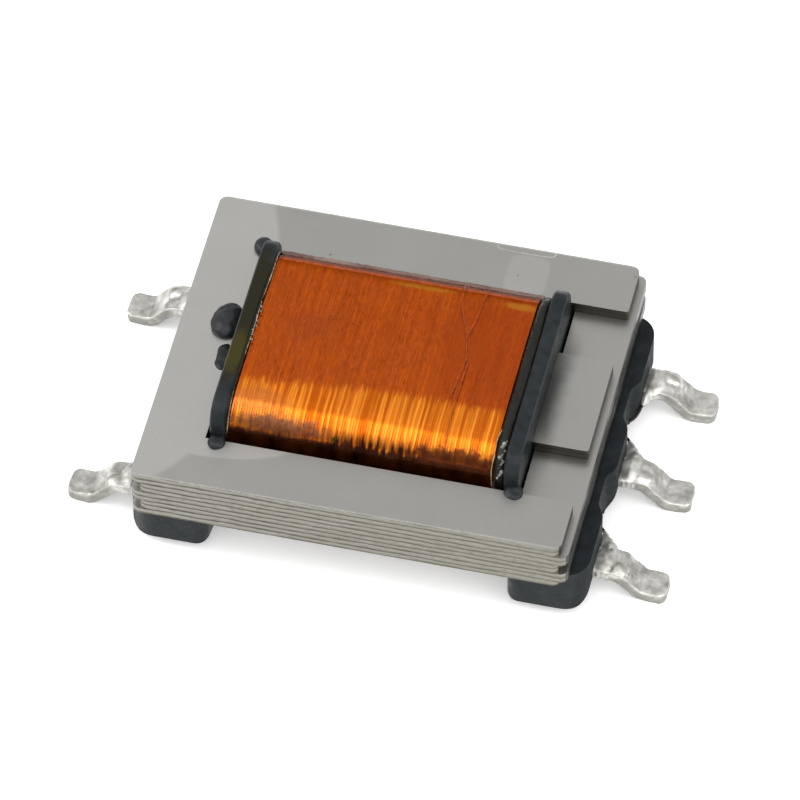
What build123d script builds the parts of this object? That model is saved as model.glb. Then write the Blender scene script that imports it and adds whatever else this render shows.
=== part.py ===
from build123d import *
import os
from math import cos, radians, sin

os.makedirs("parts", exist_ok=True)

# A surface-mount signal transformer with an open E-lamination core.
# Millimetres. Z = 0 is the circuit board under the lead feet, X runs along the coil's axis
# from row to row of leads, and Y runs along the rows.

# ---------------------------------------------------------------- core laminations
core_width = 12.0                # across the two outer legs
lamination_length = 13.75        # from the yoke's outer edge to the leg tips
lamination_thickness = 0.2
lamination_count = 9
pair_size = 2                    # laminations laid the same way before the next pair is turned round
interleave_shift = 0.115         # each lamination stands this far out on its yoke's side
yoke_width = 1.95
outer_leg_share = 0.1625          # an outer leg's width as a share of the core's
centre_leg_share = 0.3167
lamination_corner = 0.28         # radius of the yoke's and the outer legs' outer corners
leg_tip_corner = 0.1             # radius of the other leg tip corners

# ---------------------------------------------------------------- bobbin
rail_standoff = 0.4              # underside of the rails above the board
rail_height = 1.65               # the core lies on the rails' top faces
rail_length = 11.05
rail_shift = 0.12                # the rails and their leads stand this far right of the core's middle
rail_overhang = 0.11             # rail's outer face beyond the core's end, without the shift
rail_inset = 0.19                # rail's inner face from the flange's inner face
rail_end_inset = 0.39            # the same at the rail's ends
rail_edge = 0.42                 # radius of the rail's lower long edges
rail_inner_corner = 0.45         # radius of the rail's upright inner corners
rail_outer_corner = 0.8
boss_projection = 0.26           # terminal bosses in front of the rail's outer face
boss_slope = 0.4                 # run of a boss's slanted side
middle_boss_half_width = 0.85    # its flat face
end_boss_start = 2.85            # from here an end boss's flat face runs to the rail's end
boss_corner = 0.5                # radius at both ends of a boss's slanted side
flange_thickness = 0.5
flange_end_gap = 0.08            # flange to the yoke's inner edge
flange_side_gap = 0.15           # flange to the outer legs
flange_rise = 1.15               # flange edge above and below the core
flange_corner = 0.8
flange_edge = 0.12
tube_wall = 0.3
tube_corner = 0.2
tube_bore_gap = 0.05             # centre legs to the tube's bore, all round
wire_slot_width = 0.34           # slots under the rails for the wire ends
wire_slot_offset = 1.62          # slot from the lead that it serves
wire_slot_roof_gap = 0.08        # slot roof above the wire

# ---------------------------------------------------------------- coil
layer_gap = 0.02                 # between one layer of the coil and the next
primary_share = 0.4              # the inner winding's share of the depth between tube and coil face
primary_corner = 0.5
insulation_thickness = 0.08
tape_thickness = 0.06
coil_side_gap = 0.2              # finished coil to the outer legs
coil_below_flange = 0.05         # finished coil below the flange's edge
coil_crown = 0.14                # how far the coil's broad faces bulge
coil_side_crown = 0.06
coil_corner = 1.25
winding_margin_left = 0.08       # bare tube between a winding and the left flange
winding_margin_right = 0.4
tape_margin = 0.03               # tape edge to each flange

# ---------------------------------------------------------------- leads
lead_pitch = 3.81
lead_width = 1.05
lead_thickness = 0.38
lead_edge = 0.09
lead_exit_height = 0.71          # underside of a lead where it leaves the rail
lead_embedded = 1.3              # length held in the rail
lead_bend_radius = 0.45
lead_bend_angle = 46.0
lead_foot = 0.845                # from the lower bend's corner to the tip
lead_tip_corner = 0.16

# ---------------------------------------------------------------- wire ends and solder
wire_diameter = 0.09
wire_gap = 0.01                  # wire to the surface that it is wrapped round
wire_turns = 3
wire_turn_pitch = 0.13
wire_wrap_gap = 0.06             # from the turns to the boss, and to the lead's bend
wire_clearance = 0.1             # from the rail's face to the wire, where it leaves its slot
wire_bend_radius = 0.1
wire_exit_inset = 0.3            # where a wire leaves the coil, inside the flange
wire_seat_gap = 0.01             # wire's end to the coil
solder_thickness = 0.125
solder_end_gap = 0.02            # solder to the boss
solder_edge = 0.06

# ---------------------------------------------------------------- adhesive dabs
# Dark dabs on the top lamination that lock the core to the bobbin. Each has its side, its middle
# from the flange's outer face in dab radii, its middle along Y as a share of the flange's half
# depth, and its half sizes along X, Y and Z in dab radii.
dab_radius = 0.36
dab_shapes = {
    "left_centre": (-1, 1.45, 0.2, 1.55, 1.95, 1.6),
    "left_small": (-1, 0.85, -0.13, 0.75, 1.0, 0.55),
    "left_rear": (-1, 0.35, 1.05, 1.0, 1.0, 0.95),
    "left_front": (-1, -0.85, -1.04, 0.8, 1.1, 0.7),
    "right_front": (1, -0.4, -1.03, 0.85, 1.0, 0.45),
}

# ---------------------------------------------------------------- sizes that follow
core_bottom = rail_standoff + rail_height
core_height = lamination_count * lamination_thickness
core_top = core_bottom + core_height
core_middle = (core_bottom + core_top) / 2
core_half_length = lamination_length / 2 + interleave_shift
outer_leg_width = outer_leg_share * core_width
centre_leg_width = centre_leg_share * core_width
window_width = core_width / 2 - outer_leg_width - centre_leg_width / 2
window_middle = centre_leg_width / 2 + window_width / 2
window_half_length = core_half_length - yoke_width

flange_face = window_half_length - flange_end_gap
flange_inner_face = flange_face - flange_thickness
flange_half_depth = core_width / 2 - outer_leg_width - flange_side_gap
flange_half_height = core_height / 2 + flange_rise
bore_half_depth = centre_leg_width / 2 + tube_bore_gap
bore_half_height = core_height / 2 + tube_bore_gap
tube_half_depth = bore_half_depth + tube_wall
tube_half_height = bore_half_height + tube_wall
rail_face = core_half_length + rail_overhang
rail_inner_face = flange_inner_face + rail_inset
rail_end_inner_face = flange_inner_face + rail_end_inset
boss_face = rail_face + boss_projection

coil_half_depth = core_width / 2 - outer_leg_width - coil_side_gap
coil_half_height = flange_half_height - coil_below_flange
primary_build = primary_share * (coil_half_depth - tube_half_depth)
primary_build_flat = primary_share * (coil_half_height - tube_half_height)

lead_middle = lead_exit_height + lead_thickness / 2
lead_straight = 2 * wire_wrap_gap + wire_diameter + wire_turns * wire_turn_pitch
wire_offset_y = lead_width / 2 + wire_gap + wire_diameter / 2
wire_offset_z = lead_thickness / 2 + wire_gap + wire_diameter / 2
wire_level = lead_middle - wire_offset_z
inner_turn = boss_face + wire_wrap_gap + wire_diameter / 2
wire_slot_roof = wire_level + wire_diameter / 2 + wire_slot_roof_gap


# ---------------------------------------------------------------- laminations
def make_lamination(yoke_side, level):
    """One E stamping, with its yoke at the end that yoke_side names, lying at this level."""
    with BuildPart() as lamination:
        with BuildSketch(Plane.XY.offset(level)) as outline:
            with Locations((yoke_side * interleave_shift, 0)):
                Rectangle(lamination_length, core_width)
            fillet(outline.vertices(), lamination_corner)
            tip = yoke_side * (interleave_shift - lamination_length / 2)
            window_end = yoke_side * window_half_length
            with Locations(((tip + window_end) / 2, window_middle), ((tip + window_end) / 2, -window_middle)):
                Rectangle(abs(window_end - tip), window_width, mode=Mode.SUBTRACT)
            slot_mouths = [v for v in outline.vertices() if abs(v.X - tip) < leg_tip_corner / 10
                           and abs(v.Y) < core_width / 2 - outer_leg_width + leg_tip_corner]
            fillet(slot_mouths, leg_tip_corner)
        extrude(amount=lamination_thickness)
    return lamination.part


for number in range(lamination_count):
    pair_from_top = (lamination_count - 1 - number) // pair_size
    yoke_side = -1 if pair_from_top % 2 == 0 else 1
    lamination = make_lamination(yoke_side, core_bottom + number * lamination_thickness)
    lamination.label = f"lamination_{number + 1}"
    export_step(lamination, f"parts/{lamination.label}.step")


# ---------------------------------------------------------------- where the leads are
# Side of the body, place along the row, side from which the lead's wire comes, and whether that
# wire crosses to the outer end of its turns and winds inwards.
lead_places = {
    "right_rear": (1, lead_pitch, -1, False),
    "right_middle": (1, 0.0, 1, True),
    "right_front": (1, -lead_pitch, 1, True),
    "left_rear": (-1, lead_pitch, -1, False),
    "left_front": (-1, -lead_pitch, 1, False),
}
slot_places = [place + turn * wire_slot_offset for place, turn in
               ((-lead_pitch, 1), (0.0, -1), (0.0, 1), (lead_pitch, -1))]


def rail_x(side, distance):
    """The place along X that lies this far out from the rails' middle, on one side."""
    return side * distance + rail_shift


# ---------------------------------------------------------------- bobbin
# One terminal rail, on the right and before its shift.
half_outline = [
    (rail_inner_face, 0),
    (rail_inner_face, flange_half_depth),
    (rail_end_inner_face, rail_length / 2),
    (boss_face, rail_length / 2),
    (boss_face, end_boss_start),
    (rail_face, end_boss_start - boss_slope),
    (rail_face, middle_boss_half_width + boss_slope),
    (boss_face, middle_boss_half_width),
    (boss_face, 0),
]
with BuildPart() as rail:
    with BuildSketch(Plane.XY.offset(rail_standoff)) as plan:
        with BuildLine():
            Polyline(*half_outline)
            mirror(about=Plane.XZ)
        make_face()
        slanted_sides = plan.edges().filter_by(lambda e: rail_face < e.center().X < boss_face)
        fillet(slanted_sides.vertices(), boss_corner)
        ends = plan.edges().filter_by(lambda e: abs(abs(e.center().Y) - rail_length / 2) < boss_projection)
        fillet(ends.vertices().group_by(Axis.X)[0], rail_inner_corner)
        ends = plan.edges().filter_by(lambda e: abs(abs(e.center().Y) - rail_length / 2) < boss_projection)
        fillet(ends.vertices().group_by(Axis.X)[-1], rail_outer_corner)
    extrude(amount=rail_height)
    with BuildSketch(Plane.XZ.offset(-rail_length / 2)) as section:
        with Locations(((rail_inner_face + boss_face) / 2, rail_standoff + rail_height / 2)):
            Rectangle(boss_face - rail_inner_face, rail_height)
        fillet(section.vertices().group_by(Axis.Y)[0], rail_edge)
    extrude(amount=rail_length, mode=Mode.INTERSECT)
    with Locations(*[(0, place, rail_standoff) for place in slot_places]):
        Box(2 * (boss_face + boss_projection), wire_slot_width, wire_slot_roof - rail_standoff,
            align=(Align.CENTER, Align.CENTER, Align.MIN), mode=Mode.SUBTRACT)

with BuildPart() as flanges:
    with BuildSketch(Plane.YZ.offset(flange_inner_face)):
        with Locations((0, core_middle)):
            RectangleRounded(2 * flange_half_depth, 2 * flange_half_height, flange_corner)
    extrude(amount=flange_thickness)
    fillet(flanges.faces().filter_by(Axis.X).edges(), flange_edge)
    mirror(about=Plane.YZ)

with BuildPart() as bobbin:
    with Locations((rail_shift, 0, 0)):
        add(rail.part)
    mirror(about=Plane.YZ.offset(rail_shift))
    add(flanges.part)
    with BuildSketch(Plane.YZ.offset(-flange_inner_face)):
        with Locations((0, core_middle)):
            RectangleRounded(2 * tube_half_depth, 2 * tube_half_height, tube_corner)
    extrude(amount=2 * flange_inner_face)
    with BuildSketch(Plane.YZ.offset(-flange_face)):
        with Locations((0, core_middle)):
            Rectangle(2 * bore_half_depth, 2 * bore_half_height)
    extrude(amount=2 * flange_face, mode=Mode.SUBTRACT)
    for side, place, *wire_run in lead_places.values():
        with BuildSketch(Plane(origin=(rail_x(side, boss_face), place, lead_middle),
                               x_dir=(0, 1, 0), z_dir=(side, 0, 0))):
            RectangleRounded(lead_width, lead_thickness, lead_edge)
        extrude(amount=-lead_embedded, mode=Mode.SUBTRACT)
bobbin.part.label = "bobbin"
export_step(bobbin.part, "parts/bobbin.step")


# ---------------------------------------------------------------- coil
def coil_plane(x):
    """The plane across the coil at x, with its origin on the coil's axis."""
    return Plane(origin=(x, 0, core_middle), x_dir=(0, 1, 0), z_dir=(1, 0, 0))


def crowned_outline(half_depth, half_height, corner):
    """The outline of the wound coil: four gently bulging sides and round corners."""
    with BuildSketch() as outline:
        with BuildLine():
            top_y = half_depth - coil_side_crown
            side_z = half_height - coil_crown
            for turn in (1, -1):
                ThreePointArc((-turn * top_y, turn * side_z), (0, turn * half_height), (turn * top_y, turn * side_z))
                ThreePointArc((turn * top_y, turn * side_z), (turn * half_depth, 0), (turn * top_y, -turn * side_z))
        make_face()
        fillet(outline.vertices(), corner)
    return outline.sketch


def make_layer(outer, inner, start, end):
    """One layer of the coil, between two outlines and from start to end along the coil."""
    with BuildPart() as layer:
        with BuildSketch(coil_plane(start)):
            add(outer)
            add(inner, mode=Mode.SUBTRACT)
        extrude(amount=end - start)
    return layer.part


def grown_tube(build_side, build_flat, corner):
    """A rounded outline that stands off the tube by these amounts."""
    with BuildSketch() as outline:
        RectangleRounded(2 * (tube_half_depth + build_side), 2 * (tube_half_height + build_flat), corner)
    return outline.sketch


def coil_underside(y):
    """Height of the coil's underside at y, where its broad face bulges downwards."""
    half_span = coil_half_depth - coil_side_crown
    radius = (half_span ** 2 + coil_crown ** 2) / (2 * coil_crown)
    return core_middle - coil_half_height + radius - (radius ** 2 - y ** 2) ** 0.5


winding_start = -flange_inner_face + winding_margin_left
winding_end = flange_inner_face - winding_margin_right
tape_start = -flange_inner_face + tape_margin
tape_end = flange_inner_face - tape_margin
insulation_side = layer_gap + primary_build + layer_gap
insulation_flat = layer_gap + primary_build_flat + layer_gap
secondary_side = insulation_side + insulation_thickness + layer_gap
secondary_flat = insulation_flat + insulation_thickness + layer_gap
under_tape = tape_thickness + layer_gap

coil_layers = {
    "primary_winding": make_layer(
        grown_tube(layer_gap + primary_build, layer_gap + primary_build_flat, primary_corner),
        grown_tube(layer_gap, layer_gap, tube_corner), winding_start, winding_end),
    "insulating_tape": make_layer(
        grown_tube(insulation_side + insulation_thickness, insulation_flat + insulation_thickness,
                   primary_corner + insulation_thickness),
        grown_tube(insulation_side, insulation_flat, primary_corner), tape_start, tape_end),
    "secondary_winding": make_layer(
        crowned_outline(coil_half_depth - under_tape, coil_half_height - under_tape, coil_corner - under_tape),
        grown_tube(secondary_side, secondary_flat, primary_corner + insulation_thickness),
        winding_start, winding_end),
    "clear_tape": make_layer(
        crowned_outline(coil_half_depth, coil_half_height, coil_corner),
        crowned_outline(coil_half_depth - tape_thickness, coil_half_height - tape_thickness,
                        coil_corner - tape_thickness),
        tape_start, tape_end),
}
for name, layer in coil_layers.items():
    layer.label = name
    export_step(layer, f"parts/{name}.step")


# ---------------------------------------------------------------- leads, wire ends and solder
def make_lead(side, place):
    """One gull-wing lead: held in the rail, straight under its wire, then down to a flat foot."""
    angle = radians(lead_bend_angle)
    drop = lead_middle - lead_thickness / 2
    slope_run = drop / sin(angle) * cos(angle)
    bend_start = boss_face + lead_straight + lead_bend_radius * sin(angle / 2) / cos(angle / 2)
    route = [
        (rail_x(side, boss_face - lead_embedded), place, lead_middle),
        (rail_x(side, bend_start), place, lead_middle),
        (rail_x(side, bend_start + slope_run), place, lead_thickness / 2),
        (rail_x(side, bend_start + slope_run + lead_foot), place, lead_thickness / 2),
    ]
    with BuildPart() as lead:
        with BuildLine() as path:
            FilletPolyline(*route, radius=lead_bend_radius)
        with BuildSketch(Plane(origin=route[0], x_dir=(0, 1, 0), z_dir=(side, 0, 0))):
            RectangleRounded(lead_width, lead_thickness, lead_edge)
        sweep(path=path.line)
        tip_corners = lead.edges().filter_by(Axis.Z).group_by(Axis.X)[-1 if side > 0 else 0]
        fillet(tip_corners, lead_tip_corner)
    return lead.part


def make_wire_end(side, place, wire_side, winds_inwards):
    """A wire from under the coil, through the rail's slot, across to its lead and round it."""
    slot = place + wire_side * wire_slot_offset
    near = place + wire_side * wire_offset_y
    far = place - wire_side * wire_offset_y
    over = lead_middle + wire_offset_z
    exit_x = side * (flange_inner_face - wire_exit_inset)
    outer_turn = inner_turn + wire_turns * wire_turn_pitch
    leaves_slot = rail_face + wire_clearance if winds_inwards else inner_turn
    first_turn, step = (outer_turn, -wire_turn_pitch) if winds_inwards else (inner_turn, wire_turn_pitch)
    route = [
        (exit_x, slot, coil_underside(slot) - wire_seat_gap),
        (exit_x, slot, wire_level),
        (rail_x(side, leaves_slot), slot, wire_level),
    ]
    for turn in range(wire_turns):
        x = first_turn + turn * step
        route += [
            (rail_x(side, x), near, over),
            (rail_x(side, x + step / 4), far, over),
            (rail_x(side, x + step / 2), far, wire_level),
            (rail_x(side, x + step * 3 / 4), near, wire_level),
        ]
    route.append((rail_x(side, x + step), near, lead_middle))
    with BuildPart() as wire_end:
        with BuildLine() as path:
            FilletPolyline(*route, radius=wire_bend_radius)
        with BuildSketch(Plane(origin=route[0], z_dir=(0, 0, -1))):
            Circle(wire_diameter / 2)
        sweep(path=path.line)
    return wire_end.part


def make_solder(side, place, lead, wire_end):
    """Solder round a lead's straight length, closed over the turns of wire."""
    start = boss_face + solder_end_gap
    with BuildPart() as solder:
        with BuildSketch(Plane(origin=(rail_x(side, start), place, lead_middle), x_dir=(0, 1, 0), z_dir=(side, 0, 0))):
            RectangleRounded(lead_width + 2 * solder_thickness, lead_thickness + 2 * solder_thickness,
                             lead_edge + solder_thickness)
        extrude(amount=lead_straight - solder_end_gap)
        fillet(solder.faces().filter_by(Axis.X).edges(), solder_edge)
        add(lead, mode=Mode.SUBTRACT)
        add(wire_end, mode=Mode.SUBTRACT)
    return solder.part


for name, (side, place, *wire_run) in lead_places.items():
    lead = make_lead(side, place)
    lead.label = f"lead_{name}"
    export_step(lead, f"parts/{lead.label}.step")
    wire_end = make_wire_end(side, place, *wire_run)
    wire_end.label = f"wire_end_{name}"
    export_step(wire_end, f"parts/{wire_end.label}.step")
    solder = make_solder(side, place, lead, wire_end)
    solder.label = f"solder_{name}"
    export_step(solder, f"parts/{solder.label}.step")


# ---------------------------------------------------------------- adhesive dabs
def make_dab(side, out, along, half_x, half_y, height):
    """A rounded dab on the top lamination, cut off where it meets the flange."""
    blob = scale(Sphere(dab_radius), by=(half_x, half_y, height))
    with BuildPart() as dab:
        with Locations((side * (flange_face + out * dab_radius), along * flange_half_depth, core_top)):
            add(blob)
        split(bisect_by=Plane.XY.offset(core_top), keep=Keep.TOP)
        add(bobbin.part, mode=Mode.SUBTRACT)
    return dab.part


for name, shape in dab_shapes.items():
    dab = make_dab(*shape)
    dab.label = f"adhesive_dab_{name}"
    export_step(dab, f"parts/{dab.label}.step")
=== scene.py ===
"""A small board transformer: stacked steel laminations, a dark bobbin, an enamelled copper winding
under clear tape, and five tinned leads."""

import math

import bmesh
import bpy
from mathutils import Matrix, Vector


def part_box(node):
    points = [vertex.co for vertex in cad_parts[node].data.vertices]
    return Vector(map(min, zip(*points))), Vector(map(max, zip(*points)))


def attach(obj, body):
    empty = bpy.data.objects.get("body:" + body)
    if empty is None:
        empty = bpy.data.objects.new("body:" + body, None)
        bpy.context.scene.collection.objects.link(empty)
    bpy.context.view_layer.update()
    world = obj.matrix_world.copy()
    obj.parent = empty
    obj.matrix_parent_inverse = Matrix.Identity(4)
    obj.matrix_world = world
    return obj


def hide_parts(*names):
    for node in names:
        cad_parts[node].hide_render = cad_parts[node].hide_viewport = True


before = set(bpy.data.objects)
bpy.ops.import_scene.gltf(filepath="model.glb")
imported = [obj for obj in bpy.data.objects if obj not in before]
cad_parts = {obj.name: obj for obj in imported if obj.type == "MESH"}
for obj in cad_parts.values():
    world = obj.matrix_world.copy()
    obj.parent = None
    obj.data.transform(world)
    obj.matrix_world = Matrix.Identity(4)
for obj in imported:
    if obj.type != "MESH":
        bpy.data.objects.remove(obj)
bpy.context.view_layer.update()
MM = 0.001

# Places and sizes taken over from the model, in millimetres
core_bottom = 2.05
core_top = 3.85
lamination_thickness = 0.2
rail_shift = 0.12                # the rails and leads stand this far right of the core's middle
boss_face = 7.36
lead_middle = 0.9
lead_width = 1.05
lead_thickness = 0.38
lead_straight = 0.6
lead_bend_radius = 0.45
lead_bend_angle = math.radians(46.0)
lead_foot = 0.845
slot_from_lead = 1.62            # the wire's slot under the rail, along the row from its lead
wire_level = 0.655
coil_top = 4.95
coil_crown = 0.14                # how far the coil's top bulges over its half width
crown_half = 3.79
shoulder_y = 2.59
shoulder_z = 3.635
shoulder_radius = 1.25
rear_seam_y = 4.02               # between the coil's rear shoulder and the core

# Fineness and unevenness of the scene's own pieces, in millimetres
solder_voxel = 0.024
solder_waves = 0.07
solder_bumps = 0.008
dab_waves = 0.14
bead_voxel = 0.02
bead_bumps = 0.03
seam_bumps = 0.04
wire_radius = 0.05
wet_wire_radius = 0.09           # where solder has crept up the wire
floor_gap = 0.002                # between the floor and the leads' cut undersides


# ------------------------------------------------------------------ shader nodes

def node(tree, kind, inputs=None, **settings):
    """A shader node with its settings, and its inputs set or linked."""
    made = tree.nodes.new("ShaderNode" + kind)
    for key, value in settings.items():
        setattr(made, key, value)
    for key, value in (inputs or {}).items():
        if isinstance(value, bpy.types.NodeSocket):
            tree.links.new(value, made.inputs[key])
        else:
            made.inputs[key].default_value = value
    return made


def math_node(tree, operation, *values):
    """A Math node's result."""
    return node(tree, "Math", dict(enumerate(values)), operation=operation).outputs[0]


def times(tree, first, second):
    return math_node(tree, "MULTIPLY", first, second)


def plus(tree, first, second):
    return math_node(tree, "ADD", first, second)


def minus(tree, first, second):
    return math_node(tree, "SUBTRACT", first, second)


def vector_node(tree, operation, *values):
    """A Vector Math node's result."""
    return node(tree, "VectorMath", dict(enumerate(values)), operation=operation).outputs[0]


def ramp(tree, value, start, end, low=0.0, high=1.0, soft=False):
    """Goes from low to high while the value goes from start to end, and stays there beyond them."""
    made = node(tree, "MapRange", {0: value, 1: start, 2: end, 3: low, 4: high},
                interpolation_type="SMOOTHSTEP" if soft else "LINEAR")
    return made.outputs[0]


def here(tree):
    """The point of the surface on the object."""
    return node(tree, "TexCoord").outputs["Object"]


def coordinate(tree, axis, space="Object"):
    """One coordinate of the point, or of the surface's direction in Normal space."""
    return node(tree, "SeparateXYZ", {0: node(tree, "TexCoord").outputs[space]}).outputs[axis]


def tinted(tree, mask, first, second, share=1.0):
    """The colour that goes from first to second with the mask, or with a share of it."""
    if share != 1.0:
        mask = times(tree, mask, share)
    return node(tree, "Mix", {0: mask, 6: first, 7: second}, data_type="RGBA").outputs[2]


def rgb(red, green, blue):
    """A display colour, 0 to 255, as the linear colour that a shader takes."""
    shares = [value / 255 for value in (red, green, blue)]
    return tuple(c / 12.92 if c < 11 / 255 else ((c + 0.055) / 1.055) ** 2.4 for c in shares) + (1.0,)


def new_material(name):
    """A material with its node tree and its Principled shader."""
    material = bpy.data.materials.new(name)
    material.use_nodes = True
    return material, material.node_tree, material.node_tree.nodes["Principled BSDF"]


def set_inputs(tree, shader, **values):
    """Sets or links a shader's inputs; an underscore stands for a space."""
    for key, value in values.items():
        socket = shader.inputs[key.replace("_", " ")]
        if isinstance(value, bpy.types.NodeSocket):
            tree.links.new(value, socket)
        else:
            socket.default_value = value


def add_relief(tree, shader, height, depth, strength, socket="Normal", base=None):
    """A bump of this depth, in millimetres, on one of the shader's normals."""
    bump = node(tree, "Bump", {"Strength": strength, "Distance": MM * depth, "Height": height})
    if base is not None:
        tree.links.new(base, bump.inputs["Normal"])
    tree.links.new(bump.outputs[0], shader.inputs[socket])


# ------------------------------------------------------------------ studio

def place_camera(place, back, right, focal_length):
    """A camera at a place, with its backward and rightward directions and its lens in millimetres."""
    back = Vector(back).normalized()
    right = Vector(right).normalized()
    turn = Matrix((right, back.cross(right), back)).transposed().to_4x4()
    data = bpy.data.cameras.new("camera")
    data.lens = focal_length
    data.sensor_width = 36.0
    data.clip_start = 0.01
    data.clip_end = 10.0
    camera = bpy.data.objects.new("camera", data)
    camera.matrix_world = Matrix.Translation(place) @ turn
    bpy.context.scene.collection.objects.link(camera)
    bpy.context.scene.camera = camera


def place_lamp(name, place, width, height, watts):
    """A soft rectangular lamp at a place, facing the object."""
    data = bpy.data.lights.new(name, "AREA")
    data.shape = "RECTANGLE"
    data.size = width
    data.size_y = height
    data.energy = watts
    lamp = bpy.data.objects.new(name, data)
    facing = (Vector((0.0, 0.0, 0.002)) - Vector(place)).to_track_quat("-Z", "Y")
    lamp.matrix_world = Matrix.Translation(place) @ facing.to_matrix().to_4x4()
    lamp.visible_camera = False
    bpy.context.scene.collection.objects.link(lamp)


def white_surroundings():
    """Soft white light from above, less of it from behind and low down, and a plain white background."""
    world = bpy.data.worlds.new("studio")
    bpy.context.scene.world = world
    world.use_nodes = True
    tree = world.node_tree
    background = tree.nodes["Background"]
    overhead, behind, horizon_share = 1.12, 0.8, 0.6
    turned = ramp(tree, coordinate(tree, "Y", "Generated"), 0.35, 0.62, overhead, behind, soft=True)
    raised = ramp(tree, coordinate(tree, "Z", "Generated"), 0.2, 0.5, horizon_share, 1.0, soft=True)
    given = times(tree, turned, raised)
    seen = node(tree, "LightPath").outputs["Is Camera Ray"]
    strength = node(tree, "Mix", {0: seen, 2: given, 3: 1.0}, data_type="FLOAT")
    tree.links.new(strength.outputs[0], background.inputs["Strength"])
    background.inputs["Color"].default_value = (1.0, 1.0, 1.0, 1.0)


def lay_floor():
    """A plain pale floor that keeps the object's soft shadow and shows as white, also in metal."""
    bpy.ops.object.select_all(action="DESELECT")
    bpy.ops.mesh.primitive_plane_add(size=4.0, location=(0.0, 0.0, 0.0))
    floor = bpy.context.object
    floor.name = "floor"
    material, tree, shader = new_material("floor_white")
    lift = 0.3
    paths = node(tree, "LightPath").outputs
    seen = math_node(tree, "MAXIMUM", paths["Is Camera Ray"], paths["Is Glossy Ray"])
    seen = math_node(tree, "MAXIMUM", seen, paths["Is Transmission Ray"])
    set_inputs(tree, shader, Base_Color=(0.93, 0.93, 0.93, 1.0), Roughness=0.9, Specular_IOR_Level=0.0,
               Emission_Color=(1.0, 1.0, 1.0, 1.0), Emission_Strength=times(tree, seen, lift))
    floor.data.materials.append(material)


# A long lens above the front edge, turned a little towards the leads on the right
place_camera((0.042203, -0.180825, 0.218057), (0.14738, -0.63563, 0.75780), (0.97416, 0.22587, 0.0), 405.0)
bpy.context.scene.view_settings.view_transform = "Standard"
white_surroundings()
lay_floor()
place_lamp("front_softbox", (0.05, -0.19, 0.34), 0.4, 0.3, 0.5)
place_lamp("side_softbox", (0.3, -0.12, 0.22), 0.14, 0.22, 0.3)
place_lamp("left_softbox", (-0.3, -0.06, 0.26), 0.14, 0.22, 0.45)


# ------------------------------------------------------------------ shared effects

def start_group(name, inputs, outputs):
    """A shader node group with named sockets: (kind, name, default) and (kind, name)."""
    group = bpy.data.node_groups.new(name, "ShaderNodeTree")
    for kind, label, default in inputs:
        socket = group.interface.new_socket(name=label, in_out="INPUT", socket_type="NodeSocket" + kind)
        socket.default_value = default
    for kind, label in outputs:
        group.interface.new_socket(name=label, in_out="OUTPUT", socket_type="NodeSocket" + kind)
    entry = group.nodes.new("NodeGroupInput")
    leave = group.nodes.new("NodeGroupOutput")
    return group, entry.outputs, leave.inputs


def make_variation_group():
    """Soft random variation of a given size, stretched along the axes, between Low and High."""
    group, given, result = start_group(
        "variation",
        [("Float", "Size", 0.001), ("Vector", "Stretch", (1.0, 1.0, 1.0)), ("Float", "Low", 0.0),
         ("Float", "High", 1.0)],
        [("Float", "Value")])
    drawn = vector_node(group, "DIVIDE", here(group), given["Stretch"])
    scale = math_node(group, "DIVIDE", 1.0, given["Size"])
    noise = node(group, "TexNoise", {"Vector": drawn, "Scale": scale, "Detail": 4.0, "Roughness": 0.6})
    usual_low, usual_high = 0.32, 0.68
    spread = ramp(group, noise.outputs[0], usual_low, usual_high, given["Low"], given["High"])
    group.links.new(spread, result["Value"])
    return group


def make_patch_group():
    """A ragged patch round a centre, fading outwards."""
    group, given, result = start_group(
        "patch",
        [("Vector", "Centre", (0.0, 0.0, 0.0)), ("Vector", "Half Size", (0.001, 0.001, 0.001)),
         ("Float", "Fade", 0.3), ("Float", "Ragged", 0.3), ("Float", "Grain", 0.0003)],
        [("Float", "Mask")])
    shares = vector_node(group, "DIVIDE", vector_node(group, "SUBTRACT", here(group), given["Centre"]),
                         given["Half Size"])
    reach = node(group, "VectorMath", {0: shares}, operation="LENGTH").outputs["Value"]
    scale = math_node(group, "DIVIDE", 1.0, given["Grain"])
    noise = node(group, "TexNoise", {"Vector": here(group), "Scale": scale, "Detail": 3.0}).outputs[0]
    shift = times(group, minus(group, noise, 0.5), given["Ragged"])
    edge = plus(group, reach, times(group, shift, 2.0))
    inner = minus(group, 1.0, given["Fade"])
    group.links.new(ramp(group, edge, inner, 1.0, 1.0, 0.0, soft=True), result["Mask"])
    return group


def make_plate_area_group():
    """A flat area with rounded corners, seen from above, fading at its edge."""
    group, given, result = start_group(
        "plate_area",
        [("Vector", "Centre", (0.0, 0.0, 0.0)), ("Vector", "Half Size", (0.001, 0.001, 1.0)),
         ("Float", "Fade", 0.1), ("Float", "Ragged", 0.02)],
        [("Float", "Mask")])
    noise = node(group, "TexNoise", {"Vector": here(group), "Scale": 2500.0, "Detail": 3.0}).outputs[0]
    shares = vector_node(group, "DIVIDE", vector_node(group, "SUBTRACT", here(group), given["Centre"]),
                         given["Half Size"])
    parts = node(group, "SeparateXYZ", {0: vector_node(group, "ABSOLUTE", shares)}).outputs
    squareness = 5.0
    reach = plus(group, math_node(group, "POWER", parts["X"], squareness),
                 math_node(group, "POWER", parts["Y"], squareness))
    reach = math_node(group, "POWER", reach, 1.0 / squareness)
    reach = plus(group, reach, times(group, minus(group, noise, 0.5), given["Ragged"]))
    inner = minus(group, 1.0, given["Fade"])
    group.links.new(ramp(group, reach, inner, 1.0, 1.0, 0.0, soft=True), result["Mask"])
    return group


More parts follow.
